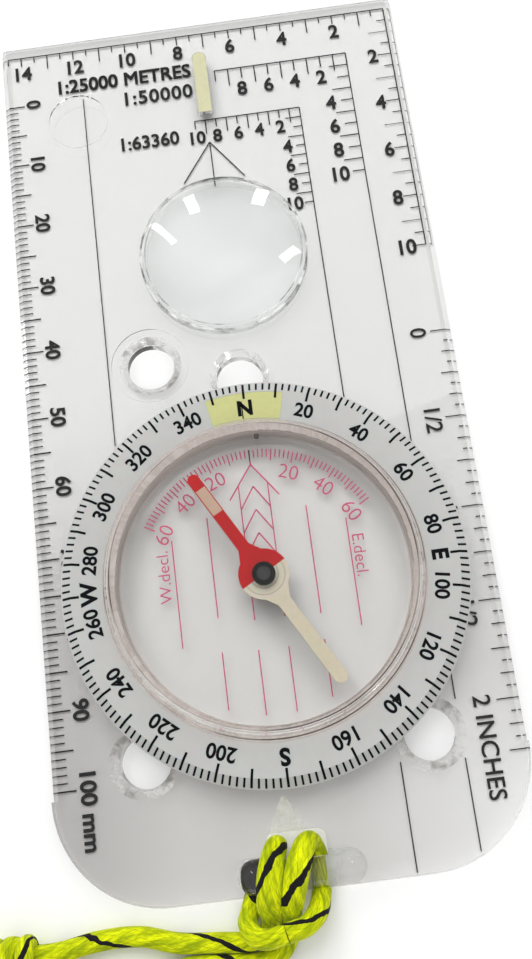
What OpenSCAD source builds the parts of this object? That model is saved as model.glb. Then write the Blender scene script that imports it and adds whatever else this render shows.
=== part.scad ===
// Baseplate compass: a clear ruler plate with a magnifier, map-marking holes and a lanyard,
// and a liquid-filled capsule that turns with its degree ring and holds a pivoted needle.
// Millimetres. The origin is on the table, under the centre of the plate. +Y is the
// direction of travel, +X is to its right and +Z is up.

/* [Plate] */
// Width of the plate
plate_w = 60; // [56:1:70]
// Length of the plate along the direction of travel
plate_l = 125; // [120:1:140]
// Thickness of the plate
plate_t = 2.4; // [2.2:0.1:2.8]
// Radius of the two rear corners
rear_corner_r = 14; // [8:1:20]
// Radius of the two front corners
front_corner_r = 1.2; // [0.5:0.1:4]
// Width of the bevel along the ruling edges
bevel_w = 0.9; // [0.4:0.1:1.5]
// Height of the bevel along the ruling edges
bevel_h = 1.3; // [0.6:0.1:1.8]

/* [Magnifier] */
// Distance of the magnifier's centre in front of the plate's centre
lens_y = 23.2; // [20:0.1:26]
// Radius of the magnifier
lens_r = 12; // [9:0.5:12.5]
// Height of the magnifier's crown above its rim
lens_crown = 1.7; // [0.8:0.1:3]

/* [Marking holes] */
// Radius of a map-marking hole
mark_r = 3.25; // [2:0.05:3.5]
// Radius of the countersink around a rear map-marking hole
mark_sink_r = 4.6; // [4.2:0.1:4.7]
// Radius of the countersink around a front map-marking hole
mark_front_sink_r = 4.1; // [3.8:0.1:4.7]
// Depth of the countersinks
mark_sink_h = 0.9; // [0.4:0.1:1.2]
// Radius of the shallow dish around the left-hand hole
mark_dish_r = 5.4; // [5:0.1:6]

/* [Capsule and degree ring] */
// Distance of the capsule's axis behind the plate's centre
capsule_back = 23.9; // [22:0.1:24]
// Outer radius of the degree ring
bezel_r = 26.6; // [26:0.1:27.5]
// Height of the degree ring's top face above the table
bezel_top = 4.6; // [4.5:0.1:4.7]
// Inner radius of the capsule
capsule_in_r = 19; // [18.6:0.1:19.2]
// Height of the capsule's top above the table
capsule_top = 7.8; // [7.4:0.1:12]
// Running clearance of the degree ring in the plate, on radius
run_gap = 0.05; // [0.02:0.01:0.1]

/* [Needle] */
// Length of the north half of the needle from the pivot
north_l = 16.3; // [15:0.1:17]
// Length of the south half of the needle from the pivot
south_l = 16.9; // [15:0.1:17]
// Width of the north half of the needle
north_w = 1.65; // [1.3:0.05:2.2]
// Width of the south half of the needle
south_w = 1.8; // [1.3:0.05:2.2]
// Radius of the needle's hub
hub_r = 3.3; // [2.8:0.1:4]
// Angle of the needle to the left of the travel direction
needle_angle = 29.5; // [0:0.5:359.5]

/* [Lanyard] */
// Diameter of the lanyard cord
cord_d = 2.4; // [2.2:0.1:2.4]

/* [Hidden] */
$fn = 96;
eps = 0.01;

// Plate features
half_w = plate_w / 2;
half_l = plate_l / 2;
cap_y = -capsule_back;
lens_seat_z = 0.6;
lens_ledge = 1.2;
lens_gap = 0.05;
lens_rim_h = 2.1;
lens_ball_r = (lens_r * lens_r + lens_crown * lens_crown) / (2 * lens_crown);
mark_front = [[-12.1, 7.7], [0, 4.3]];
mark_rear = [[-17.9, -45.2], [18.1, -46.2]];
mark_dish_h = 0.2;
strip_w = 2;
strip_l = 10.3;
strip_t = 1;
strip_y = 46.5;
thumb_x = -19;
thumb_y = 47.8;
thumb_r = 4.4;
thumb_depth = 0.3;

// Lanyard bar: a raised bead at the rear edge, open below so that the cord lies flush
bead_r = 2.15;
bead_y = -60.3;
bead_z = 2.3;
bead_half = 5.75;
bar_z = 2.5;
slot_half = 4;
slot_right = 3.4;
slot_r = 1;
slot_front = -55.5;
slot_rear = -58.7;
channel_left = 7.1;

// Housing stack, radii and heights from the axis outwards
skirt_r = 21;
plate_bore_r = skirt_r + run_gap;
rabbet_r = 22.4;
rabbet_h = 1;
flange_z = plate_t + 0.2;
cup_bottom = 0.2;
cup_floor = 1;
cup_wall_r = 19.9;
cup_flange_r = 20.9;
cup_flange_z = 3.7;
cup_top = 4.5;
seal_t = 0.3;
cover_z = cup_top + seal_t;
cover_skin = 0.9;
bezel_bore_r = cup_wall_r + 0.05;
bezel_mouth_r = cup_flange_r + 0.05;
bezel_bevel_r = bezel_r - 1.4;
bezel_edge_z = bezel_top - 1;
clip_groove_r = 20.5;
clip_r = 22.2;
clip_z = 0.35;
clip_groove_h = 0.6;
clip_t = 0.5;
clip_angle = 335;
friction_in = 22.6;
friction_out = 23.4;
friction_z = 1.9;
friction_t = 0.65;
lume_in = 21.2;
lume_out = 24.9;
lume_t = 0.3;
lume_left_angle = 11.6;
lume_right_angle = 12.9;
plug_r = 0.3;
plug_l = 1.5;
plug_z = 2.6;
plug_angle = 86;

// Needle stack
needle_z = 3.6;
needle_t = 0.5;
hub_bore_r = 1.5;
magnet_w = 1.1;
magnet_l = 26;
magnet_t = 0.6;
magnet_boss_r = 2.3;
magnet_z = needle_z - magnet_t;
cup_z = 3;
cup_h = 2;
jewel_r = 0.9;
jewel_h = 1.5;
jewel_bore_r = 0.5;
jewel_bore_h = 0.6;
jewel_z = cup_z + cup_h - jewel_h - 0.15;
pin_r = 0.4;
pin_neck_z = 3.3;
pin_tip_z = 3.88;
pin_tip_r = 0.06;
boss_r = 1.4;
boss_h = 2;
insert_in = 10;
insert_out = 14;
insert_w = 1.4;
insert_depth = 0.2;

// Lanyard: a loop of cord, hitched to the bar, knotted and then coiled on the table
cord_r = cord_d / 2;
cord_sides = 8;
// From the coil along the first tail, over the bar, down the slot, back under the bar, across
// both tails, under the bar again, up the slot, over the bar and along the second tail
cord_route = [
    [-47.5, -67.8, 1.25], [-44, -66.6, 1.25], [-40.2, -66.2, 1.4], [-35.5, -65.8, 2],
    [-30.8, -66, 1.3], [-25.6, -65.3, 1.25], [-20.6, -65.4, 1.25], [-15.9, -66.7, 1.25],
    [-11, -67.2, 1.25], [-7.4, -67.5, 1.25], [-5.3, -67, 1.3], [-4.3, -65.4, 2.2],
    [-4.3, -63.8, 4], [-4.2, -62.2, 5.2], [-3.9, -60.3, 5.75], [-3.4, -58.5, 5.3],
    [-2.9, -57.2, 4.4], [-2.7, -56.8, 3.2], [-2.8, -57.3, 1.8], [-3.3, -58.9, 1.25],
    [-4.4, -60.6, 1.25], [-5.5, -62.2, 1.25], [-6.5, -63.8, 1.5], [-7.3, -65.3, 2.6],
    [-6.5, -66.6, 4], [-4.9, -67, 4.8], [-2.6, -66.6, 5], [-0.2, -66, 4.8],
    [1.3, -64.8, 3.4], [2, -63, 1.7], [2.2, -61, 1.25], [2.2, -58.9, 1.25],
    [1.7, -57.3, 1.8], [1.2, -56.8, 3.2], [0.7, -57.2, 4.4], [0, -58.5, 5.3],
    [-0.7, -60.3, 5.75], [-1.3, -62.2, 5.2], [-1.8, -63.8, 3.9], [-1.9, -65.3, 2.2],
    [-2.4, -67.1, 1.4], [-3.6, -69, 1.25], [-6, -70, 1.25], [-10, -69.8, 1.25],
    [-14.6, -69.5, 1.25], [-19, -70.2, 1.25], [-23.6, -70.6, 1.25], [-28, -69.8, 1.25],
    [-31.6, -68.7, 1.3], [-35.5, -68.5, 2], [-40.2, -68.7, 1.6], [-44, -68.8, 2.9],
    [-47.5, -68.9, 3.65]];
knot_pos = [-36, -67.1];
knot_r = 4;
knot_h = 5.6;
knot_round = 2;
coil_pos = [-51, -87];
coil_r = 19.3;
coil_h = 4.9;
coil_round = 1.2;

// ---- Sweep of a round cord along a route ----
function unit(v) = v / norm(v);
function along(p, i) = unit(p[min(i + 1, len(p) - 1)] - p[max(i - 1, 0)]);
function turned(s, t) = unit(s - (s * t) * t);
function sides(p, i, s) =
    i == len(p) ? [] : let (t = along(p, i), n = turned(s, t)) concat([n], sides(p, i + 1, n));
module cord(p) {
    n = cord_sides;
    s = sides(p, 0, unit(cross(along(p, 0), [0.1, 0.2, 1])));
    rings = [for (i = [0 : len(p) - 1], k = [0 : n - 1])
        let (b = cross(along(p, i), s[i]), a = 360 * (k + 0.5) / n)
        p[i] + cord_r * (cos(a) * s[i] + sin(a) * b)];
    walls = [for (i = [0 : len(p) - 2], k = [0 : n - 1])
        let (a = i * n + k, b = i * n + (k + 1) % n)
        [a, a + n, b + n, b]];
    first = [for (k = [0 : n - 1]) k];
    last = [for (k = [0 : n - 1]) len(p) * n - 1 - k];
    polyhedron(points = rings, faces = concat(walls, [first], [last]), convexity = 8);
}

// ---- Plate ----
module plate_outline() {
    union() {
        translate([-half_w, -half_l + rear_corner_r])
            square([plate_w, plate_l - rear_corner_r - front_corner_r]);
        translate([-half_w + front_corner_r, half_l - 2 * front_corner_r])
            square([plate_w - 2 * front_corner_r, 2 * front_corner_r]);
        translate([-half_w + rear_corner_r, -half_l])
            square([plate_w - 2 * rear_corner_r, 2 * rear_corner_r]);
        for (s = [-1, 1]) {
            translate([s * (half_w - rear_corner_r), -half_l + rear_corner_r])
                circle(r = rear_corner_r);
            translate([s * (half_w - front_corner_r), half_l - front_corner_r])
                circle(r = front_corner_r);
        }
    }
}

// The wedge cut from a straight top edge that runs along X
module edge_wedge(length) {
    rotate([90, 0, 90])
        translate([0, 0, -length / 2])
            linear_extrude(length)
                polygon([[-bevel_w, plate_t + eps], [eps, plate_t + eps],
                         [eps, plate_t - bevel_h], [0, plate_t - bevel_h]]);
}

module ruling_bevels() {
    straight = plate_l - rear_corner_r;
    translate([0, half_l, 0])
        edge_wedge(plate_w + 2);
    for (s = [-1, 1])
        translate([s * half_w, rear_corner_r / 2 + 1, 0])
            rotate([0, 0, -90 * s])
                edge_wedge(straight + 2);
}

module marking_hole(p, sink_r) {
    translate([p[0], p[1], -1])
        cylinder(r = mark_r, h = plate_t + 2);
    translate([p[0], p[1], plate_t - mark_sink_h])
        cylinder(r1 = mark_r, r2 = sink_r, h = mark_sink_h + eps);
}

module strip_shape(grow) {
    half = strip_w / 2 + grow;
    translate([-half, strip_y - grow])
        square([2 * half, strip_l - strip_w / 2 + grow]);
    translate([0, strip_y + strip_l - strip_w / 2])
        circle(r = half);
}

// The raised bead with its domed ends
module lanyard_bead() {
    translate([0, bead_y, bead_z])
        rotate([0, 90, 0])
            rotate_extrude()
                intersection() {
                    translate([0, -bead_half - bead_r])
                        square([bead_r, 2 * (bead_half + bead_r)]);
                    union() {
                        translate([0, -bead_half])
                            square([bead_r, 2 * bead_half]);
                        for (s = [-1, 1])
                            translate([0, s * bead_half])
                                circle(r = bead_r);
                    }
                }
}

// The slot in front of the bead, and below it the channel that the cord runs back through
module lanyard_cuts() {
    rear = -half_l - 1;
    translate([-slot_half + slot_r, slot_rear, -1])
        cube([slot_half + slot_right - 2 * slot_r, slot_front - slot_rear, 8]);
    translate([-slot_half, slot_rear, -1])
        cube([slot_half + slot_right, slot_front - slot_rear - slot_r, 8]);
    for (x = [-slot_half + slot_r, slot_right - slot_r])
        translate([x, slot_front - slot_r, -1])
            cylinder(r = slot_r, h = 8);
    translate([-channel_left, rear, -1])
        cube([channel_left + slot_half, slot_rear + 0.5 - rear, bar_z + 1]);
}

module baseplate() {
    color([0.88, 0.89, 0.88, 0.5])
        difference() {
            union() {
                difference() {
                    linear_extrude(plate_t)
                        plate_outline();
                    ruling_bevels();
                }
                lanyard_bead();
            }
            translate([0, cap_y, -1])
                cylinder(r = plate_bore_r, h = plate_t + 2);
            translate([0, cap_y, -1])
                cylinder(r = rabbet_r, h = rabbet_h + 1);
            translate([0, cap_y, friction_z])
                difference() {
                    cylinder(r = friction_out + 0.1, h = plate_t);
                    translate([0, 0, -1])
                        cylinder(r = friction_in - 0.1, h = plate_t + 2);
                }
            translate([0, lens_y, -1])
                cylinder(r = lens_r - lens_ledge, h = plate_t + 2);
            translate([0, lens_y, lens_seat_z])
                cylinder(r = lens_r + lens_gap, h = plate_t);
            for (p = mark_front)
                marking_hole(p, mark_front_sink_r);
            for (p = mark_rear)
                marking_hole(p, mark_sink_r);
            translate([mark_front[0][0], mark_front[0][1], plate_t - mark_dish_h])
                cylinder(r = mark_dish_r, h = 1);
            translate([0, 0, plate_t - strip_t])
                linear_extrude(strip_t + 1)
                    strip_shape(0.05);
            translate([thumb_x, thumb_y, plate_t - thumb_depth])
                cylinder(r = thumb_r, h = 1);
            lanyard_cuts();
        }
}

module magnifier_lens() {
    color([0.93, 0.94, 0.94, 0.5])
        translate([0, lens_y, lens_seat_z])
            union() {
                cylinder(r = lens_r, h = lens_rim_h);
                intersection() {
                    cylinder(r = lens_r - 0.6, h = lens_rim_h + lens_crown);
                    translate([0, 0, lens_rim_h + lens_crown - lens_ball_r])
                        sphere(r = lens_ball_r, $fn = 192);
                }
            }
}

module travel_lume_strip() {
    color([0.88, 0.88, 0.66])
        translate([0, 0, plate_t - strip_t])
            linear_extrude(strip_t)
                strip_shape(0);
}

module friction_ring() {
    color([0.85, 0.85, 0.84])
        translate([0, cap_y, 0])
            rotate_extrude()
                translate([friction_in, friction_z])
                    square([friction_out - friction_in, friction_t]);
}

// ---- Turning housing ----
module retaining_ring() {
    color([0.7, 0.71, 0.72])
        translate([0, cap_y, 0])
            rotate([0, 0, (360 - clip_angle) / 2 - 90])
                rotate_extrude(angle = clip_angle)
                    translate([clip_groove_r + 0.05, clip_z + 0.05])
                        square([clip_r - clip_groove_r - 0.05, clip_t]);
}

module bezel_ring() {
    color([0.82, 0.82, 0.8])
        translate([0, cap_y, 0])
            difference() {
                rotate_extrude()
                    polygon([
                        [bezel_bore_r, cup_bottom], [skirt_r, cup_bottom], [skirt_r, clip_z],
                        [clip_groove_r, clip_z], [clip_groove_r, clip_z + clip_groove_h],
                        [skirt_r, clip_z + clip_groove_h], [skirt_r, flange_z],
                        [bezel_r, flange_z], [bezel_r, bezel_edge_z],
                        [bezel_bevel_r, bezel_top], [bezel_mouth_r, bezel_top],
                        [bezel_mouth_r, cup_flange_z], [bezel_bore_r, cup_flange_z]]);
                lume_sector(lume_t + 1, 0.03);
            }
}

module lume_sector(height, grow) {
    rotate([0, 0, 90 - lume_right_angle - grow])
        rotate_extrude(angle = lume_left_angle + lume_right_angle + 2 * grow)
            translate([lume_in - grow, bezel_top - lume_t])
                square([lume_out - lume_in + 2 * grow, height]);
}

module bezel_lume_patch() {
    color([0.83, 0.84, 0.55])
        translate([0, cap_y, 0])
            lume_sector(lume_t, 0);
}

module plug_bore(r, length) {
    translate([0, cap_y, plug_z])
        rotate([0, 90, plug_angle])
            translate([0, 0, cup_wall_r - plug_l])
                cylinder(r = r, h = length, $fn = 48);
}

module capsule_base() {
    color([0.86, 0.85, 0.84, 0.6])
        difference() {
            translate([0, cap_y, 0])
                rotate_extrude()
                    polygon([
                        [pin_r, cup_bottom], [cup_wall_r, cup_bottom],
                        [cup_wall_r, cup_flange_z], [cup_flange_r, cup_flange_z],
                        [cup_flange_r, cup_top], [capsule_in_r, cup_top],
                        [capsule_in_r, cup_floor], [boss_r, cup_floor],
                        [boss_r, boss_h], [pin_r, boss_h]]);
            plug_bore(plug_r, plug_l + 1);
        }
}

module capsule_seal() {
    color([0.62, 0.56, 0.54])
        translate([0, cap_y, 0])
            rotate_extrude()
                translate([capsule_in_r + 0.1, cup_top])
                    square([cup_flange_r - capsule_in_r - 0.2, seal_t]);
}

module capsule_cover() {
    rim_r = capsule_in_r + 0.9;
    color([0.9, 0.88, 0.87, 0.4])
        translate([0, cap_y, 0])
            rotate_extrude()
                polygon([
                    [0, capsule_top - cover_skin], [capsule_in_r - 0.5, capsule_top - cover_skin],
                    [capsule_in_r, cover_z], [cup_flange_r, cover_z],
                    [cup_flange_r, bezel_top + 0.6], [rim_r, capsule_top - 0.3],
                    [rim_r - 0.3, capsule_top], [0, capsule_top]]);
}

module filler_plug() {
    color([0.45, 0.42, 0.4])
        plug_bore(plug_r, plug_l);
}

module pivot_pin() {
    color([0.75, 0.76, 0.78])
        translate([0, cap_y, 0]) {
            translate([0, 0, cup_bottom])
                cylinder(r = pin_r, h = pin_neck_z - cup_bottom);
            translate([0, 0, pin_neck_z])
                cylinder(r1 = pin_r, r2 = pin_tip_r, h = pin_tip_z - pin_neck_z, $fn = 48);
        }
}

// ---- Needle, drawn pointing along +Y and then turned to its angle ----
module at_needle(z) {
    translate([0, cap_y, z])
        rotate([0, 0, needle_angle])
            children();
}

module arm(width, length) {
    translate([-width / 2, 0])
        square([width, length - width / 2]);
    translate([0, length - width / 2])
        circle(r = width / 2);
}

module half_plane(side) {
    size = 40;
    translate([-size / 2, side > 0 ? 0 : -size])
        square([size, size]);
}

module needle_half_shape(side, width, length) {
    flare = width + 2.2;
    difference() {
        intersection() {
            union() {
                circle(r = hub_r);
                rotate([0, 0, side > 0 ? 0 : 180]) {
                    arm(width, length);
                    polygon([[-flare / 2, hub_r - 0.9], [flare / 2, hub_r - 0.9],
                             [width / 2, hub_r + 1.1], [-width / 2, hub_r + 1.1]]);
                }
            }
            half_plane(side);
        }
        circle(r = hub_bore_r);
    }
}

module needle_north() {
    color([0.74, 0.09, 0.09])
        at_needle(needle_z)
            difference() {
                linear_extrude(needle_t)
                    needle_half_shape(1, north_w, north_l);
                translate([-insert_w / 2, insert_in, needle_t - insert_depth])
                    cube([insert_w, insert_out - insert_in, 1]);
            }
}

module needle_lume_insert() {
    color([0.8, 0.66, 0.53])
        at_needle(needle_z + needle_t - insert_depth)
            translate([-insert_w / 2, insert_in, 0])
                cube([insert_w, insert_out - insert_in, insert_depth]);
}

module needle_south() {
    color([0.85, 0.82, 0.68])
        at_needle(needle_z)
            linear_extrude(needle_t)
                needle_half_shape(-1, south_w, south_l);
}

module needle_magnet() {
    color([0.35, 0.36, 0.38])
        at_needle(magnet_z)
            difference() {
                union() {
                    translate([-magnet_w / 2, -magnet_l / 2, 0])
                        cube([magnet_w, magnet_l, magnet_t]);
                    cylinder(r = magnet_boss_r, h = magnet_t);
                }
                translate([0, 0, -1])
                    cylinder(r = hub_bore_r, h = magnet_t + 2);
            }
}

module jewel_cup() {
    color([0.06, 0.06, 0.06])
        translate([0, cap_y, cup_z])
            difference() {
                cylinder(r = hub_bore_r, h = cup_h);
                translate([0, 0, -1])
                    cylinder(r = jewel_r, h = cup_h + 2);
            }
}

module pivot_jewel() {
    color([0.3, 0.3, 0.3])
        translate([0, cap_y, jewel_z])
            difference() {
                cylinder(r = jewel_r, h = jewel_h);
                translate([0, 0, -1])
                    cylinder(r = jewel_bore_r, h = 1 + jewel_bore_h);
            }
}

// ---- Lanyard ----
module lanyard_cord() {
    color([0.71, 0.83, 0])
        cord(cord_route);
}

// A flat round bundle of cord with a rounded rim, standing on the table
module bundle(r, h, round) {
    rotate_extrude()
        intersection() {
            square([r, h]);
            union() {
                square([r - round, h]);
                translate([0, round])
                    square([r, h - 2 * round]);
                for (z = [round, h - round])
                    translate([r - round, z])
                        circle(r = round);
            }
        }
}

module lanyard_knot() {
    color([0.62, 0.75, 0])
        translate([knot_pos[0], knot_pos[1], 0])
            bundle(knot_r, knot_h, knot_round);
}

module lanyard_coil() {
    color([0.71, 0.83, 0])
        translate([coil_pos[0], coil_pos[1], 0])
            bundle(coil_r, coil_h, coil_round);
}

baseplate();
magnifier_lens();
travel_lume_strip();
friction_ring();
retaining_ring();
bezel_ring();
bezel_lume_patch();
capsule_base();
capsule_seal();
capsule_cover();
filler_plug();
pivot_pin();
needle_north();
needle_lume_insert();
needle_south();
needle_magnet();
jewel_cup();
pivot_jewel();
lanyard_cord();
lanyard_knot();
lanyard_coil();
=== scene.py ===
import math
import bmesh
import bpy
from mathutils import Matrix, Vector, noise


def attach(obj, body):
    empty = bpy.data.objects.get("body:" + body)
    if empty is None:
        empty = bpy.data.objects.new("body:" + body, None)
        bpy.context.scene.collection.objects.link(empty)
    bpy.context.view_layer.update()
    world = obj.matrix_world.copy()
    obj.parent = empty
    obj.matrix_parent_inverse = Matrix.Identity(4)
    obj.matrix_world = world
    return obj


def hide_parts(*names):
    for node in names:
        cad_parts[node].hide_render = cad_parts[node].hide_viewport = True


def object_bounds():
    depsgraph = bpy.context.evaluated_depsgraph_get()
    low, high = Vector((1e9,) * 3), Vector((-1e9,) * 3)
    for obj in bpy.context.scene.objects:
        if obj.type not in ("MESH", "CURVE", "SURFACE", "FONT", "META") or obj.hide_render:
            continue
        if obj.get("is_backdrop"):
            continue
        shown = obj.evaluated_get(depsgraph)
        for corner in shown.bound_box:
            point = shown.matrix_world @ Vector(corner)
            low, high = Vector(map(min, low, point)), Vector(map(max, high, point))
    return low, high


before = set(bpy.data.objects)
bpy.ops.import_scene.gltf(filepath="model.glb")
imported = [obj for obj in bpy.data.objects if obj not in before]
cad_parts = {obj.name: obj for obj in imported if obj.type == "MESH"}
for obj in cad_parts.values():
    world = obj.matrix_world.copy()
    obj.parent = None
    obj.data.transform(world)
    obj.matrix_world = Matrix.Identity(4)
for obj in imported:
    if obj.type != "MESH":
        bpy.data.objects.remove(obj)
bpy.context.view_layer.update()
scene = bpy.context.scene
MM = 0.001
HOUSING = Vector((0, -23.9, 0))
LENS = Vector((0, 23.2, 0))


def rad(a):
    return math.radians(a)


# ---------------------------------------------------------------- camera
RIGHT = Vector((0.99109, -0.12553, -0.04461))
UP = Vector((0.13277, 0.95808, 0.25388))
EYE = Vector((3.3, -46.15, 135.07))
cam_data = bpy.data.cameras.new("camera")
cam = bpy.data.objects.new("camera", cam_data)
scene.collection.objects.link(cam)
cam_data.lens = 38.47
cam_data.sensor_width = 36
cam_data.clip_start = 0.005
cam_data.clip_end = 20
back = RIGHT.cross(UP).normalized()
up = back.cross(RIGHT).normalized()
turned = Matrix((RIGHT, up, back)).transposed().to_4x4()
cam.matrix_world = Matrix.Translation(EYE * MM) @ turned
scene.camera = cam


# ---------------------------------------------------------------- small tools
def add_object(name, mesh, body=None, mat=None):
    ob = bpy.data.objects.new(name, mesh)
    scene.collection.objects.link(ob)
    if mat is not None:
        mesh.materials.append(mat)
    if body is not None:
        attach(ob, body)
    return ob


class Nodes:
    """A short way to write a material's nodes."""

    def __init__(self, name):
        self.mat = bpy.data.materials.new(name)
        self.mat.use_nodes = True
        self.tree = self.mat.node_tree
        self.tree.nodes.clear()
        self.out = self.add("ShaderNodeOutputMaterial")

    def add(self, kind, **settings):
        n = self.tree.nodes.new(kind)
        for k, v in settings.items():
            setattr(n, k, v)
        return n

    def put(self, socket, value):
        if isinstance(value, bpy.types.NodeSocket):
            self.tree.links.new(value, socket)
        elif hasattr(socket, "default_value"):
            if isinstance(value, (tuple, list)) and len(value) == 3 and len(socket.default_value) == 4:
                value = (*value, 1)
            socket.default_value = value

    def math(self, op, a, b=0.0, c=0.0):
        n = self.add("ShaderNodeMath", operation=op)
        for s, v in zip(n.inputs, (a, b, c)):
            self.put(s, v)
        return n.outputs[0]

    def coords(self):
        return self.add("ShaderNodeTexCoord").outputs["Object"]

    def place(self, centre=(0, 0, 0)):
        """Millimetres from a centre: x, y, height and distance from the upright axis through it."""
        xyz = self.add("ShaderNodeSeparateXYZ")
        self.put(xyz.inputs[0], self.coords())
        x, y, z = (self.math("MULTIPLY_ADD", o, 1000.0, -c) for o, c in zip(xyz.outputs, centre))
        r = self.math("SQRT", self.math("ADD", self.math("MULTIPLY", x, x), self.math("MULTIPLY", y, y)))
        return x, y, z, r

    def above(self, value, limit):
        return self.math("GREATER_THAN", value, limit)

    def both(self, a, b):
        return self.math("MULTIPLY", a, b)

    def either(self, a, b):
        return self.math("MAXIMUM", a, b)

    def less(self, value, limit):
        return self.math("LESS_THAN", value, limit)

    def blend(self, fac, a, b):
        n = self.add("ShaderNodeMixShader")
        self.put(n.inputs[0], fac)
        self.tree.links.new(a, n.inputs[1])
        self.tree.links.new(b, n.inputs[2])
        return n.outputs[0]

    def see_through(self, color):
        n = self.add("ShaderNodeBsdfTransparent")
        self.put(n.inputs["Color"], color)
        return n.outputs[0]

    def noise(self, scale, detail=3.0, rough=0.5, vector=None, distortion=0.0):
        n = self.add("ShaderNodeTexNoise")
        self.put(n.inputs["Vector"], vector or self.coords())
        self.put(n.inputs["Scale"], scale)
        self.put(n.inputs["Detail"], detail)
        self.put(n.inputs["Roughness"], rough)
        self.put(n.inputs["Distortion"], distortion)
        return n.outputs["Fac"]

    def span(self, value, a, b, lo=0.0, hi=1.0):
        n = self.add("ShaderNodeMapRange")
        for s, v in zip(("Value", "From Min", "From Max", "To Min", "To Max"), (value, a, b, lo, hi)):
            self.put(n.inputs[s], v)
        return n.outputs[0]

    def mix(self, fac, a, b):
        n = self.add("ShaderNodeMix", data_type="RGBA")
        self.put(n.inputs[0], fac)
        self.put(n.inputs[6], a)
        self.put(n.inputs[7], b)
        return n.outputs[2]

    def bump(self, height, strength, distance):
        n = self.add("ShaderNodeBump")
        self.put(n.inputs["Height"], height)
        self.put(n.inputs["Strength"], strength)
        self.put(n.inputs["Distance"], distance)
        return n.outputs["Normal"]

    def principled(self, color, rough, normal=None, **more):
        n = self.add("ShaderNodeBsdfPrincipled")
        self.put(n.inputs["Base Color"], color)
        self.put(n.inputs["Roughness"], rough)
        if normal is not None:
            self.put(n.inputs["Normal"], normal)
        for k, v in more.items():
            self.put(n.inputs[k.replace("_", " ")], v)
        return n.outputs["BSDF"]

    def finish(self, shader):
        self.tree.links.new(shader, self.out.inputs["Surface"])
        return self.mat


def solid(name, color, rough=0.45, vary=0.08, scale=900, bump=0.15, lets=0.0, **more):
    """Moulded or painted plastic, metal or rubber with a little mottling and grain.

    lets is how much of a lamp's light gets through each face.
    """
    m = Nodes(name)
    n = m.noise(scale, 4, 0.6)
    wide = m.noise(scale * 0.12, 2, 0.5)
    dark = tuple(c * (1 - vary) for c in color)
    light = tuple(min(1, c * (1 + vary)) for c in color)
    col = m.mix(m.span(m.math("ADD", n, wide), 0.7, 1.3), dark, light)
    r = m.span(wide, 0.3, 0.7, rough * 0.85, min(1, rough * 1.2))
    shader = m.principled(col, r, m.bump(n, bump, 0.00002), **more)
    if lets:
        shadow = m.add("ShaderNodeLightPath").outputs["Is Shadow Ray"]
        shader = m.blend(shadow, shader, m.see_through((lets, lets, lets)))
    return m.finish(shader)


def clear(name, tint, shade, rough=0.02, ior=1.49, wave=0.15, scale=120, buried=None,
          within=(0.995, 0.995, 0.995), milky=None, milk=(0.8, 0.7, 0.66), through=0.3, **more):
    """Clear moulded acrylic. Lamps reach what lies behind it.

    tint may be a colour or a function of the nodes. buried marks the faces that touch liquid or
    other acrylic, which bend no light, and within tints those; milky says how frosted each place is.
    """
    m = Nodes(name)
    flow = m.noise(scale, 2, 0.45)
    fine = m.noise(scale * 30, 3, 0.6)
    height = m.math("MULTIPLY_ADD", fine, 0.015, flow)
    r = m.span(fine, 0.45, 0.75, rough, rough + 0.015)
    color = tint(m) if callable(tint) else tint
    shader = m.principled(color, r, m.bump(height, wave, 0.0001), Transmission_Weight=1.0, IOR=ior, **more)
    shadow = m.add("ShaderNodeLightPath").outputs["Is Shadow Ray"]
    shader = m.blend(shadow, shader, m.see_through(shade))
    if buried:
        shader = m.blend(buried(m), shader, m.see_through(within))
    if milky:
        if callable(milk):
            color = milk(m)
        else:
            color = m.mix(m.span(flow, 0.3, 0.7), milk, tuple(0.9 * c for c in milk))
        frost = m.principled(color, 0.35, m.bump(fine, 0.1, 0.00002))
        back = m.add("ShaderNodeBsdfTranslucent")
        m.put(back.inputs["Color"], color)
        frost = m.blend(through, frost, back.outputs[0])
        shader = m.blend(m.both(milky(m), m.math("SUBTRACT", 1.0, shadow)), shader, frost)
    return m.finish(shader)


def dress(node, mat):
    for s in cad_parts[node].material_slots:
        s.link = "OBJECT"
        s.material = mat


# ---------------------------------------------------------------- lanyard cord
CORD_R = 1.2
CORD_SWELL = 0.04
TUBE_SIDES = 16
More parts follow.
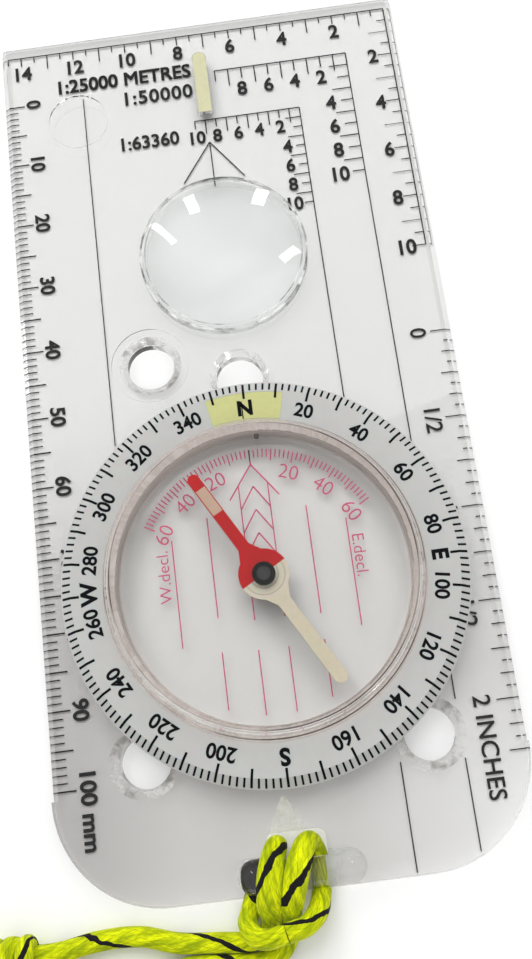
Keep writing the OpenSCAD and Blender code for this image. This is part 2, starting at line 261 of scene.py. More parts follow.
# the middle of the cord: out of the coil, round the bar and back into the coil.
# BAND is the point at which the loop is opened, so that the path starts at the hitch.
ROUTE = [
    (-47.5, -67.8, 1.25), (-44, -66.6, 1.25), (-40.2, -66.2, 1.4), (-35.5, -65.8, 2),
    (-30.8, -66, 1.3), (-25.6, -65.3, 1.25), (-20.6, -65.4, 1.25), (-15.9, -66.7, 1.25),
    (-11, -67.2, 1.25), (-7.4, -67.5, 1.25), (-5.3, -67, 1.3), (-4.3, -65.4, 2.2),
    (-4.3, -63.8, 4), (-4.2, -62.2, 5.2), (-3.9, -60.3, 5.75), (-3.4, -58.5, 5.3),
    (-2.9, -57.2, 4.4), (-2.7, -56.8, 3.2), (-3, -57.3, 1.8), (-4, -58.9, 1.25),
    (-5.3, -60.6, 1.25), (-6.1, -62.3, 1.25), (-6.8, -63.9, 1.5), (-7.3, -65.3, 2.6),
    (-6.5, -66.6, 4), (-4.9, -67, 4.8), (-2.6, -66.6, 5), (-0.2, -66, 4.8),
    (1.3, -64.8, 3.4), (2, -63, 1.7), (2.2, -61, 1.25), (2.2, -58.9, 1.25),
    (1.7, -57.3, 1.8), (1.2, -56.8, 3.2), (0.7, -57.2, 4.4), (0, -58.5, 5.3),
    (-0.7, -60.3, 5.75), (-1.3, -62.2, 5.2), (-1.8, -63.8, 3.9), (-1.9, -65.3, 2.2),
    (-2.4, -67.1, 1.4), (-3.6, -69, 1.25), (-6, -70, 1.25), (-10, -69.8, 1.25),
    (-14.6, -69.5, 1.25), (-19, -70.2, 1.25), (-23.6, -70.6, 1.25), (-28, -69.8, 1.25),
    (-31.6, -68.7, 1.3), (-35.5, -68.5, 2), (-40.2, -68.7, 1.6), (-44, -68.8, 2.9),
    (-47.5, -68.9, 3.65)]
BAND = 26
COIL = Vector((-51, -87, 0))
COIL_OUT = 18.05
COIL_PITCH = 2.42
LAYER_Z = (1.25, 3.65)


def coil_points():
    """The doubled loop, wound in below, turned round in the middle and wound out above."""
    start, turns_in, turns_out = 95, 3.5, 3
    pts = []
    n = int(turns_in * 30)
    for i in range(n + 1):
        a = rad(start + 360 * turns_in * i / n)
        r = COIL_OUT - COIL_PITCH * turns_in * i / n
        pts.append(COIL + Vector((r * math.cos(a), r * math.sin(a), LAYER_Z[0])))
    r_in = COIL_OUT - COIL_PITCH * turns_in
    r_out = COIL_OUT - COIL_PITCH * turns_out
    bend = (r_in + r_out) / 4
    end = rad(start + 360 * turns_in)
    axis = Vector((math.cos(end), math.sin(end), 0))
    side = Vector((-axis.y, axis.x, 0))
    for i in range(1, 24):
        t = i / 12
        if t <= 1:
            c, a, s = axis * (r_in - bend), rad(180 * t), 1
        else:
            c, a, s = axis * (r_in - 3 * bend), rad(180 * (t - 1)), -1
        flat = c + bend * (math.cos(a) * axis + s * math.sin(a) * side)
        lift = LAYER_Z[0] + (LAYER_Z[1] - LAYER_Z[0]) * (0.5 - 0.5 * math.cos(math.pi * t / 2))
        pts.append(COIL + flat + Vector((0, 0, lift)))
    n = int(turns_out * 30)
    for i in range(n + 1):
        a = rad(start + 360 * turns_out * (n - i) / n)
        r = COIL_OUT - COIL_PITCH * turns_out * (n - i) / n
        pts.append(COIL + Vector((r * math.cos(a), r * math.sin(a), LAYER_Z[1])))
    return pts


def smooth(points, step):
    """A smooth curve through the points, with a point every step along it."""
    p = [Vector(q) for q in points]
    p = [2 * p[0] - p[1]] + p + [2 * p[-1] - p[-2]]
    fine = []
    for a, b, c, d in zip(p, p[1:], p[2:], p[3:]):
        for k in range(24):
            t = k / 24
            fine.append(0.5 * (2 * b + (c - a) * t + (2 * a - 5 * b + 4 * c - d) * t ** 2
                               + (3 * b - a - 3 * c + d) * t ** 3))
    fine.append(p[-2])
    total = sum((b - a).length for a, b in zip(fine, fine[1:]))
    count = max(2, round(total / step))
    out, want, walked = [fine[0]], total / count, 0.0
    for a, b in zip(fine, fine[1:]):
        d = (b - a).length
        while d > 0 and walked + d >= want * len(out) - 1e-9 and len(out) < count:
            out.append(a.lerp(b, (want * len(out) - walked) / d))
        walked += d
    out.append(fine[-1])
    return out, total


def tube(name, path, radius, sides, mat, squeeze=None, swell=0.0):
    """A tube along a path in millimetres, closed at both ends.

    Its UV map holds the length, in girths of the tube, and the share of a turn round it.
    """
    bm = bmesh.new()
    uv = bm.loops.layers.uv.new("braid")
    rings, lengths, walked = [], [], 0.0
    normal = None
    for i, p in enumerate(path):
        t = (path[min(i + 1, len(path) - 1)] - path[max(i - 1, 0)]).normalized()
        if normal is None:
            normal = t.orthogonal().normalized()
        normal = (normal - t * normal.dot(t)).normalized()
        other = t.cross(normal)
        if i:
            walked += (p - path[i - 1]).length
        ring = []
        for k in range(sides):
            a = 2 * math.pi * k / sides
            d = math.cos(a) * normal + math.sin(a) * other
            r = radius
            if swell:
                r *= 1 + swell * noise.noise(Vector((walked * 0.35, d.x * 0.6, d.y * 0.6 + d.z)))
            q = p + d * r
            if squeeze is not None:
                q = squeeze(q, p, d, t)
            ring.append(bm.verts.new(q * MM))
        rings.append(ring)
        lengths.append(walked)
    round_ = 2 * math.pi * radius
    for i in range(len(rings) - 1):
        for k in range(sides):
            j = (k + 1) % sides
            f = bm.faces.new((rings[i][k], rings[i][j], rings[i + 1][j], rings[i + 1][k]))
            f.smooth = True
            for loop, (row, col) in zip(f.loops, ((i, k), (i, k + 1), (i + 1, k + 1), (i + 1, k))):
                loop[uv].uv = (lengths[row] / round_, col / sides)
    bm.faces.new(list(reversed(rings[0])))
    bm.faces.new(rings[-1])
    mesh = bpy.data.meshes.new(name)
    bm.normal_update()
    bm.to_mesh(mesh)
    bm.free()
    mesh.materials.append(mat)
    return mesh


def braid(name):
    """A fine tubular braid of mottled lime yarn, with painted shade between its crossings, and a black
    tracer that winds slowly round it.
    """
    m = Nodes(name)
    uv = m.add("ShaderNodeUVMap", uv_map="braid")
    xy = m.add("ShaderNodeSeparateXYZ")
    m.put(xy.inputs[0], uv.outputs[0])
    length, turn = xy.outputs[0], xy.outputs[1]
    strands, slope = 12, 3.6
    along = m.math("MULTIPLY", length, slope)
    around = m.math("MULTIPLY", turn, strands)
    wave = m.noise(420, 2, 0.5)
    a = m.math("MULTIPLY_ADD", wave, 0.9, m.math("ADD", around, along))
    b = m.math("MULTIPLY_ADD", wave, 0.9, m.math("SUBTRACT", around, along))
    cell_a, cell_b = m.math("FLOOR", a), m.math("FLOOR", b)
    parity = m.math("MODULO", m.math("ADD", m.math("ADD", cell_a, cell_b), 4000), 4.0)
    a_on_top = m.math("LESS_THAN", parity, 2.0)
    across = m.mix(a_on_top, m.math("FRACT", b), m.math("FRACT", a))
    hill = m.math("SINE", m.math("MULTIPLY", across, math.pi))
    # filaments run nearly along the cord
    thread = m.add("ShaderNodeCombineXYZ")
    m.put(thread.inputs[0], m.math("MULTIPLY", m.math("MULTIPLY_ADD", length, 0.35, turn), 46.0))
    m.put(thread.inputs[1], m.math("MULTIPLY", length, 7.0))
    fibre = m.noise(1.0, 3, 0.6, thread.outputs[0])
    streak = m.add("ShaderNodeCombineXYZ")
    m.put(streak.inputs[0], m.math("MULTIPLY", m.math("MULTIPLY_ADD", length, 0.3, turn), 9.0))
    m.put(streak.inputs[1], m.math("MULTIPLY", length, 2.2))
    patch = m.noise(1.0, 2, 0.5, streak.outputs[0])
    fuzz = m.noise(2600, 3, 0.7)
    lime = m.mix(m.span(patch, 0.34, 0.62), (0.34, 0.44, 0.001), (0.84, 0.92, 0.002))
    lime = m.mix(m.span(fibre, 0.3, 0.6, 0.55, 0.0), lime, (0.17, 0.22, 0.002))
    # painted shade: darker in the crevices between the braid's crossings
    lime = m.mix(m.span(hill, 0.0, 0.6, 0.35, 0.0), lime, (0.10, 0.14, 0.001))
    lime = m.mix(m.span(fibre, 0.62, 0.78, 0.0, 0.5), lime, (0.92, 0.94, 0.03))
    wind = m.math("MULTIPLY_ADD", wave, 0.22, m.math("MULTIPLY_ADD", length, -0.52, turn))
    tracer = m.math("LESS_THAN", m.math("FRACT", m.math("ADD", wind, 40.07)), 0.10)
    x, y, z, r = m.place((-5.6, -60.6, 1.2))
    apart = m.math("ADD", m.both(x, x), m.math("MULTIPLY", m.both(y, y), 0.35))
    under_bar = m.both(m.less(apart, 2.6), m.less(z, 1.6))
    tracer = m.either(tracer, under_bar)
    black = m.mix(m.span(fuzz, 0.3, 0.7), (0.004, 0.004, 0.005), (0.014, 0.013, 0.016))
    color = m.mix(tracer, lime, black)
    height = m.math("MULTIPLY_ADD", fibre, 0.7, m.math("MULTIPLY", hill, 0.45))
    height = m.math("MULTIPLY_ADD", fuzz, 0.25, height)
    return m.finish(m.principled(color, m.span(fuzz, 0.3, 0.7, 0.6, 0.85), m.bump(height, 0.8, 0.00010),
                                 Sheen_Weight=0.06, Sheen_Roughness=0.4, Specular_IOR_Level=0.15))


def hitched(q, p, d, t):
    """The strands are pressed wider where they are pulled tight over the bar."""
    along = max(0, 1 - abs(p.y + 61) / 6.5)
    raised = max(0, min(1, (p.z - 2.2) / 2))
    near = along * raised * max(0, min(1, (p.x + 9) / 3))
    q.x = p.x + (q.x - p.x) * (1 + 0.34 * min(1, near * 1.6))
    return q


cord_mat = braid("cord_braid")
route = ROUTE[BAND:] + [tuple(p) for p in coil_points()[1:-1]] + ROUTE[:BAND + 1]
path, cord_length = smooth(route, 0.4)
# the swollen cord stays clear of the table
for q in path:
    q.z = max(q.z, CORD_R * (1 + CORD_SWELL) + 0.01)
cord_mesh = tube("lanyard", path, CORD_R, TUBE_SIDES, cord_mat, squeeze=hitched, swell=CORD_SWELL)
cord = add_object("lanyard", cord_mesh, "base")
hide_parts("lanyard_cord", "lanyard_coil")

# the knot is drawn as flattened turns round the two strands
KNOT = Vector((-36, -67.1, 2.6))
KNOT_TURNS = 2.6
KNOT_POINTS = 96
knot_line = []
for i in range(KNOT_POINTS + 1):
    t = i / KNOT_POINTS
    a = rad(-110 + 360 * KNOT_TURNS * t)
    reach = 1 - 0.28 * (max(0, 1 - t * 9) + max(0, 1 - (1 - t) * 9))
    lean = 2.55 - 5.1 * t + 0.5 * math.sin(a * 0.5)
    knot_line.append(KNOT + Vector((lean, 2.95 * reach * math.cos(a), 1.85 * reach * math.sin(a))))
knot_path, _ = smooth(knot_line, 0.35)


def press(q, p, d, t):
    """Flattens the turns against the strands and on the table."""
    out = Vector((0, p.y - KNOT.y, p.z - KNOT.z))
    if out.length > 1e-6:
        out.normalize()
        q = q - out * (q - p).dot(out) * 0.22
    q.z = max(0.12, min(5.55, q.z))
    return q


knot_mesh = tube("lanyard_knot_turns", knot_path, 1.15, TUBE_SIDES, cord_mat, squeeze=press, swell=0.08)
knot = add_object("lanyard_knot_turns", knot_mesh, "base")
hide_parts("lanyard_knot")

# ---------------------------------------------------------------- floor and light
floor_nodes = Nodes("floor")
grain = floor_nodes.noise(40, 3, 0.5)
pale = floor_nodes.mix(grain, (0.93, 0.93, 0.93), (0.95, 0.95, 0.95))
floor_mat = floor_nodes.finish(floor_nodes.principled(pale, 0.9))
bpy.ops.mesh.primitive_plane_add(size=6, location=(0, 0, -0.0002))
floor = bpy.context.object
floor.name = "floor"
floor.data.materials.append(floor_mat)
floor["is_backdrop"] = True

world = bpy.data.worlds.new("studio")
scene.world = world
world.use_nodes = True
world.node_tree.nodes["Background"].inputs[0].default_value = (1.0, 1.0, 1.0, 1)
world.node_tree.nodes["Background"].inputs[1].default_value = 0.74


def lamp(name, where, size, size_y, strength, at=(0, 0, 0), seen=True):
    """An area lamp whose face has this radiance."""
    data = bpy.data.lights.new(name, "AREA")
    data.shape = "RECTANGLE"
    data.size = size
    data.size_y = size_y
    data.energy = strength * math.pi * size * size_y
    ob = bpy.data.objects.new(name, data)
    scene.collection.objects.link(ob)
    ob.location = where
    ob.rotation_mode = "QUATERNION"
    ob.rotation_quaternion = (Vector(at) - Vector(where)).to_track_quat("-Z", "Y")
    ob.visible_glossy = seen
    return ob


lamp("softbox", (-0.10, 0.36, 0.52), 0.6, 0.5, 2.3, seen=False)
lamp("window_left", (-0.26, 1.18, 0.92), 0.10, 0.26, 14, at=LENS * MM)
lamp("window_right", (0.36, 1.18, 0.92), 0.12, 0.20, 14, at=LENS * MM)
lamp("window_side", (0.68, 0.62, 1.35), 0.10, 0.24, 12, at=LENS * MM)
lamp("window_far", (-0.62, 1.05, 1.15), 0.07, 0.40, 10, at=LENS * MM)
scene.view_settings.view_transform = "Standard"
scene.view_settings.look = "None"
scene.view_settings.exposure = 0.0

# ---------------------------------------------------------------- materials on the CAD nodes
def plate_tint(m):
    """Faint grey, with painted shade that darkens it towards the rear and more at the rear left corner, and
    painted light that makes it paler towards the rear right one.
    """
    x, y, z, r = m.place()
    # painted shade: darker towards the rear, and a little towards the left
    slope = m.math("MULTIPLY_ADD", x, 0.25, y)
    cloud = m.noise(38, 2, 0.5)
    fac = m.span(m.math("MULTIPLY_ADD", cloud, 30.0, slope), -45, 15)
    base = m.mix(fac, (0.70, 0.69, 0.68), (0.755, 0.757, 0.75))
    # painted shade: a darker patch at the rear left corner
    corner = m.both(m.span(x, -14, -27), m.span(m.math("MULTIPLY_ADD", cloud, 20.0, y), 10, -40))
    base = m.mix(m.math("MULTIPLY", corner, 0.8), base, (0.55, 0.54, 0.535))
    # painted light: a paler patch at the rear right
    return m.mix(m.both(m.span(x, 6, 26), m.span(y, -38, -54)), base, (0.82, 0.82, 0.815))


# the marking holes: centre x, centre y, and the inner and outer radius of each countersink
MARKS = ((-12.1, 7.7, 3.3, 4.3), (0, 4.3, 3.3, 4.3), (-17.9, -45.2, 3.3, 4.75), (18.1, -46.2, 3.3, 4.75))


def plate_frost(m):
    """The cut cones of the marking holes, the bead, and a fan in front of the bead where a pale reflection
    is painted.
    """
    x, y, z, r = m.place((-1.2, -51.3, 2.4))
    # the fan: a pale reflection painted on the top face in front of the bead
    down = m.math("MULTIPLY", y, -1.0)
    half = m.math("MULTIPLY_ADD", down, 0.52, 0.25)
    fan = m.both(m.both(m.less(m.math("ABSOLUTE", x), half), m.less(m.math("ABSOLUTE", z), 0.1)),
                 m.both(m.above(down, 0.0), m.less(down, 4.4)))
    frost = m.math("MULTIPLY", fan, m.span(m.noise(420, 3, 0.6), 0.3, 0.7, 0.10, 0.45))
    broken = m.span(m.noise(340, 3, 0.65), 0.46, 0.62, 0.05, 0.55)
    # the cut cones of the marking holes, frosted and patched with painted highlight and shade
    for hx, hy, low, high in MARKS:
        x, y, z, r = m.place((hx, hy, 1.5))
        cone = m.both(m.both(m.above(r, low), m.less(r, high)), m.both(m.above(z, 0.02), m.less(z, 0.89)))
        frost = m.either(frost, m.both(cone, broken))
    # the bead's right half, greyed with painted shade
    x, y, z, r = m.place((3, -60, 2.45))
    bead = m.both(m.both(m.above(z, 0.0), m.above(x, 0.0)), m.less(m.math("ABSOLUTE", y), 6.0))
    return m.either(frost, m.math("MULTIPLY", bead, m.span(m.noise(260, 2, 0.5), 0.35, 0.65, 0.05, 0.5)))


def plate_shades(m):
    """The colour of each frosted place: painted highlight and shade as pale and dark patches in the cut
    cones, a pale painted reflection on the fan, and grey painted shade on the bead.
    """
    x, y, z, r = m.place((-1.2, -51.3, 2.4))
    # painted highlight and painted shade: pale and dark patches in the cut cones
    cut = m.mix(m.span(m.noise(260, 2, 0.6), 0.44, 0.56), (0.14, 0.11, 0.09), (0.78, 0.78, 0.76))
    # painted shade: the bead is grey
    bead = m.both(m.above(z, 0.05), m.less(y, -2.0))
    # painted reflection: the fan is pale
    fan = m.both(m.less(r, 5.6), m.less(m.math("ABSOLUTE", z), 0.1))
    return m.mix(bead, m.mix(fan, cut, (0.86, 0.86, 0.74)), (0.60, 0.62, 0.60))


def lens_rim(m):
    """Two broken lines of painted highlight and painted shade, bright and dark, round the lens's edge."""
    x, y, z, r = m.place(LENS)
    outer = m.both(m.above(r, 11.72), m.above(z, 1.0))
    inner = m.both(m.both(m.above(r, 11.12), m.less(r, 11.3)), m.above(z, 1.0))
    broken = m.span(m.noise(170, 3, 0.6), 0.42, 0.62, 0.1, 0.85)
    return m.math("MULTIPLY", m.either(outer, m.both(inner, 0.7)), broken)


def lens_tint(m):
    """Nearly clear, with drifting haze and a greyer edge."""
    x, y, z, r = m.place(LENS)
    haze = m.noise(55, 2, 0.45, distortion=0.6)
    edge = m.span(r, 8.5, 11.5, 0.0, 0.5)
    fac = m.math("MAXIMUM", m.span(haze, 0.42, 0.62, 1.0, 0.0), edge)
    return m.mix(fac, (0.97, 0.97, 0.97), (0.76, 0.765, 0.765))


def rim_shades(m):
    """Painted shade and painted highlight: dark and bright patches for the lines of the lens's edge."""
    return m.mix(m.span(m.noise(260, 2, 0.6), 0.46, 0.56), (0.12, 0.12, 0.12), (0.95, 0.95, 0.95))


def lens_seat(m):
    """The plate's faces that the lens fills."""
    x, y, z, r = m.place(LENS)
    return m.both(m.less(r, 12.3), m.both(m.above(z, 0.05), m.less(z, 2.35)))


def lens_below(m):
    """The lens's faces inside the plate and below it."""
    x, y, z, r = m.place(LENS)
    return m.less(z, 2.65)


def cup_buried(m):
    """The cup's faces that the liquid wets."""
    x, y, z, r = m.place(HOUSING)
    return m.both(m.less(r, 18.9), m.above(z, 0.25))


def cup_wall(m):
    """The cup's wall is milky; its floor is clear."""
    x, y, z, r = m.place(HOUSING)
    return m.math("MULTIPLY", m.above(r, 18.9), 0.55)


def cover_buried(m):
    """All of the cover but its top and its outer wall."""
    x, y, z, r = m.place(HOUSING)
    open_faces = m.either(m.above(z, 7.1), m.both(m.above(r, 19.3), m.above(z, 4.83)))
    return m.math("SUBTRACT", 1.0, open_faces)


def rim_lines(m):
    """Painted shade: the dark contours drawn on the cover's top edge, foot and inner corner."""
    x, y, z, r = m.place(HOUSING)
    top = m.both(m.both(m.above(r, 19.44), m.less(r, 19.62)), m.above(z, 7.0))
    foot = m.both(m.both(m.above(r, 20.5), m.less(r, 20.68)), m.above(z, 4.83))
    inner = m.both(m.less(r, 19.2), m.less(z, 5.15))
    broken = m.span(m.noise(70, 2, 0.6), 0.40, 0.6, 0.3, 0.95)
    return m.both(m.either(m.either(top, foot), m.math("MULTIPLY", inner, 0.6)), broken)


def cover_rim(m):
    """Faint milk on the outer wall, and the dark contours of painted shade."""
    x, y, z, r = m.place(HOUSING)
    rim = m.math("MULTIPLY", m.both(m.above(r, 19.65), m.above(z, 4.83)), 0.25)
    return m.either(rim, rim_lines(m))


def cover_shades(m):
    """Pale rose, and near black painted shade where the contours are."""
    return m.mix(rim_lines(m), (0.92, 0.85, 0.81), (0.10, 0.08, 0.07))


def cream():
    """Translucent cream plastic, with the moulded rings of the needle's hub, their grooves darkened with
    painted shade.
    """
    m = Nodes("needle_cream")
    x, y, z, r = m.place(HOUSING)
    grain = m.noise(1600, 4, 0.6)
    ring = m.either(m.both(m.above(r, 2.62), m.less(r, 2.78)), m.both(m.above(r, 1.75), m.less(r, 1.95)))
    hub = m.span(r, 2.9, 3.6, 1.0, 0.0)
    color = m.mix(m.span(grain, 0.3, 0.7), (0.70, 0.64, 0.48), (0.76, 0.70, 0.53))
    color = m.mix(hub, color, (0.73, 0.68, 0.55))
    # painted shade: the rings' grooves are darkened
    color = m.mix(m.math("MULTIPLY", ring, 0.5), color, (0.36, 0.32, 0.24))
    height = m.math("MULTIPLY_ADD", ring, -0.5, m.math("MULTIPLY", grain, 0.1))
    return m.finish(m.principled(color, m.span(grain, 0.3, 0.7, 0.34, 0.48), m.bump(height, 0.4, 0.00006),
                                 Subsurface_Weight=0.3, Subsurface_Scale=0.001))


dress("baseplate", clear("acrylic_plate", plate_tint, (0.90, 0.90, 0.895), rough=0.0, wave=0.08,
                         Specular_IOR_Level=0.4, buried=lens_seat, milky=plate_frost, milk=plate_shades))
dress("magnifier_lens", clear("acrylic_lens", lens_tint, (0.93, 0.93, 0.93), rough=0.0, wave=0.04,
                              buried=lens_below, within=(0.915, 0.92, 0.917), milky=lens_rim,
                              milk=rim_shades))
dress("travel_lume_strip", solid("lume_strip", (0.56, 0.55, 0.35), 0.6, 0.06, 1400))
dress("friction_ring", solid("felt", (0.72, 0.72, 0.7), 0.95, 0.1, 2500, 0.6))
dress("retaining_ring", solid("spring_steel", (0.6, 0.61, 0.62), 0.3, 0.06, 1500, 0.1, Metallic=1.0))
dress("bezel_ring", solid("milky_ring", (0.49, 0.49, 0.475), 0.35, 0.03, 500, 0.05, 0.84,
                          Subsurface_Weight=0.25, Subsurface_Scale=0.002))
dress("bezel_lume_patch", solid("lume_ring", (0.52, 0.53, 0.22), 0.55, 0.05, 1400, lets=0.75))
dress("capsule_base", clear("acrylic_cup", (0.69, 0.69, 0.675), (0.93, 0.93, 0.925), wave=0.05,
                            buried=cup_buried, milky=cup_wall, milk=(0.95, 0.88, 0.84), through=0.6))
dress("capsule_cover", clear("acrylic_cover", (0.80, 0.79, 0.785), (0.92, 0.915, 0.91), rough=0.0, wave=0.03,
                             buried=cover_buried, milky=cover_rim, milk=cover_shades, through=0.5,
                             Specular_IOR_Level=0.2))
dress("capsule_seal", solid("seal", (0.68, 0.63, 0.60), 0.6, 0.08, 1800, 0.3, lets=0.95))
dress("filler_plug", solid("plug", (0.10, 0.09, 0.09), 0.4, 0.1))
dress("pivot_pin", solid("pin_steel", (0.6, 0.6, 0.62), 0.25, 0.05, Metallic=1.0))
dress("needle_north", solid("needle_red", (0.56, 0.004, 0.005), 0.45, 0.08, 1600, 0.1,
                            Specular_IOR_Level=0.1))
dress("needle_lume_insert", solid("needle_lume", (0.62, 0.43, 0.31), 0.6, 0.08, 1800, 0.2))
dress("needle_south", cream())
dress("needle_magnet", solid("magnet", (0.12, 0.12, 0.13), 0.45, 0.1, Metallic=0.8))
dress("jewel_cup", solid("cup_black", (0.002, 0.002, 0.002), 0.4, 0.1, Specular_IOR_Level=0.05))
dress("pivot_jewel", solid("jewel", (0.045, 0.045, 0.046), 0.15, 0.1, Specular_IOR_Level=0.2))
ink_black = solid("ink_black", (0.004, 0.004, 0.005), 0.6, 0.2, 1500, 0.05, Specular_IOR_Level=0.1)
ink_grey = solid("ink_grey", (0.16, 0.16, 0.16), 0.45, 0.15, 1500, 0.05)
ink_rose = solid("ink_rose", (0.66, 0.085, 0.19), 0.5, 0.10, 1500, 0.05, Specular_IOR_Level=0.2)


# ---------------------------------------------------------------- printing
# a capital's height as a share of the font's size
CAPITAL = 0.73


class Print:
    """Thin printed marks, in millimetres, on a flat face at height z."""

    def __init__(self, z, thick=0.02, centre=(0, 0)):
        self.bm = bmesh.new()
        self.z, self.thick, self.centre = z, thick, Vector((*centre, 0))

    def block(self, corners):
        """A closed thin block over a flat outline, each corner with its own height."""
        low, high = [], []
        for c in corners:
            p = Vector(c) if len(c) == 3 else Vector((*c, self.z))
            p = p + self.centre
            low.append(self.bm.verts.new(p * MM))
            high.append(self.bm.verts.new((p + Vector((0, 0, self.thick))) * MM))
        n = len(corners)
        self.bm.faces.new(list(reversed(low)))
        self.bm.faces.new(high)
        for i in range(n):
            j = (i + 1) % n
            self.bm.faces.new((low[i], low[j], high[j], high[i]))

    def line(self, a, b, width):
        """A straight mark between two points."""
        a, b = Vector(a), Vector(b)
        n = (b - a).normalized().orthogonal() * width / 2
        self.block([a - n, b - n, b + n, a + n])

    def ray(self, r0, r1, angle, width):
        """A mark along a radius, at an angle clockwise from +Y."""
        d = Vector((math.sin(rad(angle)), math.cos(rad(angle))))
        n = Vector((d.y, -d.x)) * width / 2
        self.block([d * r0 - n, d * r0 + n, d * r1 + n, d * r1 - n][::-1])

    def text(self, words, x, y, height, turn=0.0, stretch=1.0, weight=0.0, spacing=1.0):
        """Words centred on x, y, with capitals of that height, turned anticlockwise.

        weight thickens the strokes, as a share of the height. An M is struck four times instead,
        because its strokes cross when its outline is moved out.
        """
        curve = bpy.data.curves.new("words", "FONT")
        curve.body = words
        curve.align_x = "CENTER"
        curve.size = height / CAPITAL
        strikes = [(0, 0)]
        if "M" in words:
            strikes = [(s * weight * height, t * weight * height) for s in (-1, 1) for t in (-1, 1)]
        else:
            curve.offset = weight * height
        curve.extrude = self.thick / 2
        curve.resolution_u = 4
        curve.space_character = spacing
        ob = bpy.data.objects.new("words", curve)
        scene.collection.objects.link(ob)
        bpy.context.view_layer.update()
        mesh = bpy.data.meshes.new_from_object(ob.evaluated_get(bpy.context.evaluated_depsgraph_get()))
        middle = Vector((x, y, self.z + self.thick / 2)) + self.centre
        place = (Matrix.Scale(MM, 4) @ Matrix.Translation(middle) @ Matrix.Rotation(rad(turn), 4, "Z")
                 @ Matrix.Diagonal((stretch, 1, 1, 1)) @ Matrix.Translation((0, -height / 2, 0)))
        mesh.transform(place)
        for dx, dy in strikes:
            mesh.transform(Matrix.Translation(Vector((dx, dy, 0)) * MM))
            self.bm.from_mesh(mesh)
            mesh.transform(Matrix.Translation(Vector((-dx, -dy, 0)) * MM))
        bpy.data.objects.remove(ob)
        bpy.data.meshes.remove(mesh)
        bpy.data.curves.remove(curve)

    def outward(self):
        """Turn over each closed mark whose faces point inwards."""
        left = set(self.bm.faces)
        while left:
            mark, front = [], [left.pop()]
            while front:
                face = front.pop()
                mark.append(face)
                near = {f for e in face.edges for f in e.link_faces} & left
                left -= near
                front.extend(near)
            origin = mark[0].verts[0].co
            if sum(f.normal.dot(f.verts[0].co - origin) * f.calc_area() for f in mark) < 0:
                bmesh.ops.reverse_faces(self.bm, faces=mark)

    def done(self, name, body, mat):
        """Make one piece of all the marks."""
        bmesh.ops.remove_doubles(self.bm, verts=self.bm.verts, dist=1e-8)
        # where two blocks meet end to end, the wall between them goes
        walls = [f for f in self.bm.faces if all(len(e.link_faces) > 2 for e in f.edges)]
        bmesh.ops.delete(self.bm, geom=walls, context="FACES_ONLY")
        bmesh.ops.recalc_face_normals(self.bm, faces=self.bm.faces)
        self.bm.normal_update()
        self.outward()
        mesh = bpy.data.meshes.new(name)
        self.bm.to_mesh(mesh)
        self.bm.free()
        return add_object(name, mesh, body, mat)


# height of the print on the plate's underside
UNDER = 0.02
# letter heights, and the weight of the bolder ones
BIG, SMALL, BOLD = 2.3, 2.1, 0.04
# start of the ruler and of the inch scale
RULER_X, RULER_Y = -29.8, 52.53
INCH_X, INCH_Y, SIXTEENTH = 30, 7.74, 25.4 / 16
# each map scale is two legs from a corner at its upper right.
# A step is 50 m at 1:25000 and 100 m at the other two.
X25, Y25, STEP25 = 28.85, 61.05, 2
X50, Y50, STEP50 = 22.06, 54.2, 2
X63, Y63, STEP63 = 13.93, 46.0, 1.578
ARROW_Y = 42.2

# millimetre scale down the left edge
p = Print(UNDER)
for i in range(101):
    y = RULER_Y - i
    if i % 5 == 0:
        p.line((RULER_X, y), (-27.1, y), 0.2)
    else:
        p.line((RULER_X, y), (-28.15, y), 0.16)
for i in range(0, 100, 10):
    p.text(str(i), -25.7, 52.7 - 1.003 * i, 2.1, -90, 1.0, BOLD)
p.text("100 mm", -25.5, -50.0, 2.1, -90, 1.08, BOLD)
# inch scale down the right edge
for i in range(37):
    y = INCH_Y - i * SIXTEENTH
    size = 2.8 if i % 8 == 0 else 2.3 if i % 4 == 0 else 1.7 if i % 2 == 0 else 1.2
    p.line((INCH_X, y), (INCH_X - size, y), 0.15)
for words, y in (("0", 7.7), ("1/2", -5.0), ("1", -17.7), ("1 1/2", -30.4)):
    p.text(words, 25.6, y, 2.3, -90, 1.0, 0.015)
p.text("2 INCHES", 25.4, -48.7, 2.3, -90, 0.98, 0.015)
# map scale, 1:25000
p.line((X25, Y25), (-29.15, Y25), 0.18)
for i in range(30):
    x = X25 - STEP25 * i
    p.line((x, Y25), (x, Y25 - (1.0 if i % 2 else 1.45 if i % 4 == 0 else 2.4)), 0.17)
for k in range(2, 15, 2):
    p.text(str(k), X25 - 4 * k, 58.3, BIG, 0, 0.95, BOLD)
p.line((X25, Y25), (X25, 21.05), 0.17)
for i in range(1, 21):
    if i % 4 != 2:
        y = Y25 - STEP25 * i
        p.line((X25, y), (X25 - (1.3 if i % 2 else 2.0), y), 0.15)
for k in (2, 4, 6, 8, 10):
    p.text(str(k), 26.1 - 0.1 * (k == 10), Y25 - 4 * k, BIG, 0, 0.95, BOLD)
# map scale, 1:50000
p.line((X50, Y50), (2.0, Y50), 0.19)
for i in range(11):
    x = X50 - STEP50 * i
    p.line((x, Y50), (x, Y50 - (2.8 if i % 2 else 1.8)), 0.18)
for k in (2, 4, 6, 8):
    p.text(str(k), 21.9 - 2 * k, 50.7, BIG, 0, 0.95, BOLD)
for i in range(1, 11):
    y = Y50 - STEP50 * i
    p.line((X50, y), (X50 - (2.8 if i % 2 else 1.8), y), 0.17)
for k in (4, 6, 8, 10):
    p.text(str(k), 18.75 if k < 10 else 18.3, 54.1 - 2 * k, BIG, 0, 0.95, BOLD)
p.line((X50, Y50), (X50, -42.3), 0.15)
p.line((X50, -49.6), (X50, -60.8), 0.15)
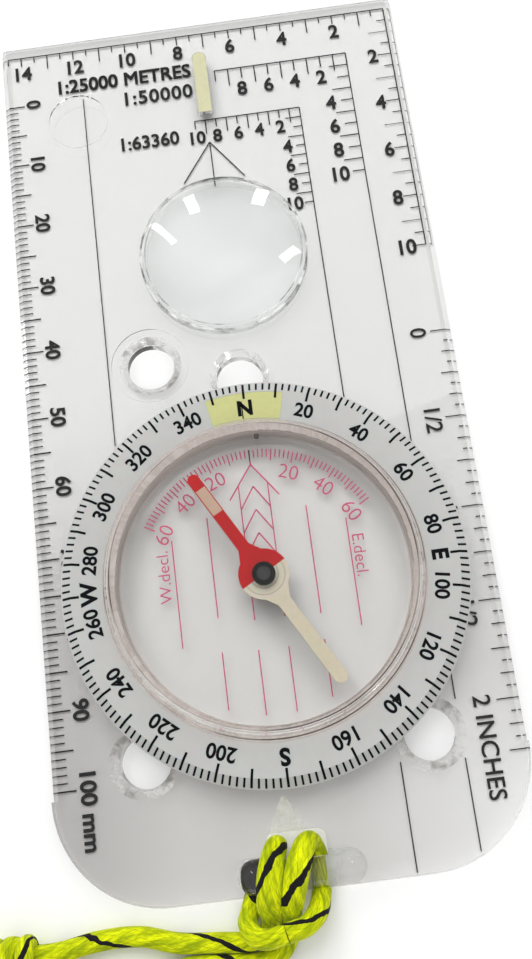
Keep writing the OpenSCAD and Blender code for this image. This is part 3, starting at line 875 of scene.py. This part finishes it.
# map scale, 1:63360
p.line((X63, Y63), (-1.87, Y63), 0.18)
for i in range(11):
    x = X63 - STEP63 * i
    p.line((x, Y63), (x, Y63 - (2.3 if i % 2 else 1.3)), 0.17)
    if i:
        y = Y63 - STEP63 * i
        p.line((X63, y), (X63 - (2.3 if i % 2 else 1.3), y), 0.16)
for k in (2, 4, 6, 8, 10):
    p.text(str(k), 13.9 - 1.575 * k, 43.25, SMALL, 0, 0.95, BOLD)
for k in (4, 6, 8, 10):
    p.text(str(k), 11.4 if k < 10 else 11.1, 46.1 - STEP63 * k, SMALL, 0, 0.95, BOLD)
p.line((X63, Y63), (X63, -2.6), 0.15)
p.line((X63, -49.1), (X63, -62.3), 0.15)
p.text("1:25000 METRES", -11.9, 55.0, 2.3, 0, 0.95, 0.035)
p.text("1:50000", -7.0, 51.5, 2.3, 0, 0.98, 0.035, 1.1)
p.text("1:63360", -9.0, 43.8, 2.2, 0, 0.95, 0.035)
p.line((-18.2, 52.5), (-18.2, -2.8), 0.14)
# travel arrow
p.line((0, ARROW_Y), (-4.5, 35.9), 0.18)
p.line((0, ARROW_Y), (4.5, 35.9), 0.18)
p.line((0, ARROW_Y), (0, 34.3), 0.16)
p.done("plate_print", "base", ink_black)
# the long marks of the outer scale's leg are printed thin and grey
p = Print(UNDER)
for i in range(2, 20, 4):
    y = Y25 - STEP25 * i
    p.line((X25, y), (26.0, y), 0.13)
p.done("plate_print_leg", "base", ink_grey)

# degree ring
C = (HOUSING.x, HOUSING.y)
RING_TOP = 4.6
# how far the ring stands from its zero mark, in degrees
RING_TURN = 0.65
# the flat top ends at RING_EDGE, and the slope beyond it falls 1 in RING_FALL.
# LIFT keeps the ink off the plastic.
RING_EDGE, RING_FALL, LIFT = 25.2, 1.4, 0.004
TICK_IN, TICK_OUT = 24.07, 26.4
# labels that stand a little off their place, in degrees
NUDGE = {280: 1.5, 270: 0.5, 260: 0.7}


def ring_z(r):
    """Height of the ring's upper face at a radius."""
    return RING_TOP + LIFT if r <= RING_EDGE else RING_TOP + LIFT - (r - RING_EDGE) / RING_FALL


p = Print(RING_TOP, 0.015, C)
for i in range(180):
    a = rad(2 * i + RING_TURN)
    d, n = Vector((math.sin(a), math.cos(a), 0)), Vector((math.cos(a), -math.sin(a), 0))
    w = 0.135 if i % 5 else 0.16
    cuts = [RING_EDGE, TICK_OUT] if i % 5 else [TICK_IN, RING_EDGE, TICK_OUT]
    for r0, r1 in zip(cuts, cuts[1:]):
        q = [d * r0 - n * w + Vector((0, 0, ring_z(r0))), d * r1 - n * w + Vector((0, 0, ring_z(r1))),
             d * r1 + n * w + Vector((0, 0, ring_z(r1))), d * r0 + n * w + Vector((0, 0, ring_z(r0)))]
        p.block(q)
names = {0: "N", 90: "E", 180: "S", 270: "W"}
for a in sorted(set(range(0, 360, 20)) | {90, 270}):
    t = rad(a + RING_TURN + NUDGE.get(a, 0))
    d = Vector((math.sin(t), math.cos(t))) * (23.1 if 290 < a < 350 else 22.85)
    p.z = RING_TOP + LIFT
    height, weight = (2.1, 0.055) if a in names else (1.9, 0.035)
    p.text(names.get(a, str(a)), d.x, d.y, height, -a, 0.98, weight)
p.z = RING_TOP + LIFT
p.ray(21.3, 23.75, RING_TURN - 1.0, 0.16)
p.done("ring_print", "housing", ink_black)

# capsule floor
p = Print(1.005, 0.015, C)
for i in range(-30, 31):
    p.ray(15.7 if i % 5 == 0 else 16.15, 17.25, 2 * i, 0.17)
for s in (-1, 1):
    for k in (20, 40, 60):
        a = s * k
        d = Vector((math.sin(rad(a)), math.cos(rad(a)))) * 14.45
        p.text(str(k), d.x, d.y, 2.05, -a, 1.0, -0.012)
    for x, y0, y1 in ((1.95, 12.35, -5.45), (1.95, -9.3, -17.5), (6.6, 8.7, -4.6 if s < 0 else -5.7),
                      (6.6, -9.0, -16.3), (11.55, 6.3, -7.9)):
        p.line((s * x, y0), (s * x, y1), 0.15)
    p.line((0, 15.2), (s * 3.3, 10.65), 0.18)
    for k in range(3):
        p.line((0, 12.15 - 3.15 * k), (s * 1.95, 9.2 - 3.15 * k), 0.18)
p.line((0, 17.25), (0, 15.2), 0.18)
p.text("W.decl.", -13.05, 1.6, 1.65, 90, 1.0, -0.01)
p.text("E.decl.", 12.8, 1.2, 1.65, -90, 1.0, -0.01)
p.done("capsule_print", "housing", ink_rose)

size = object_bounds()
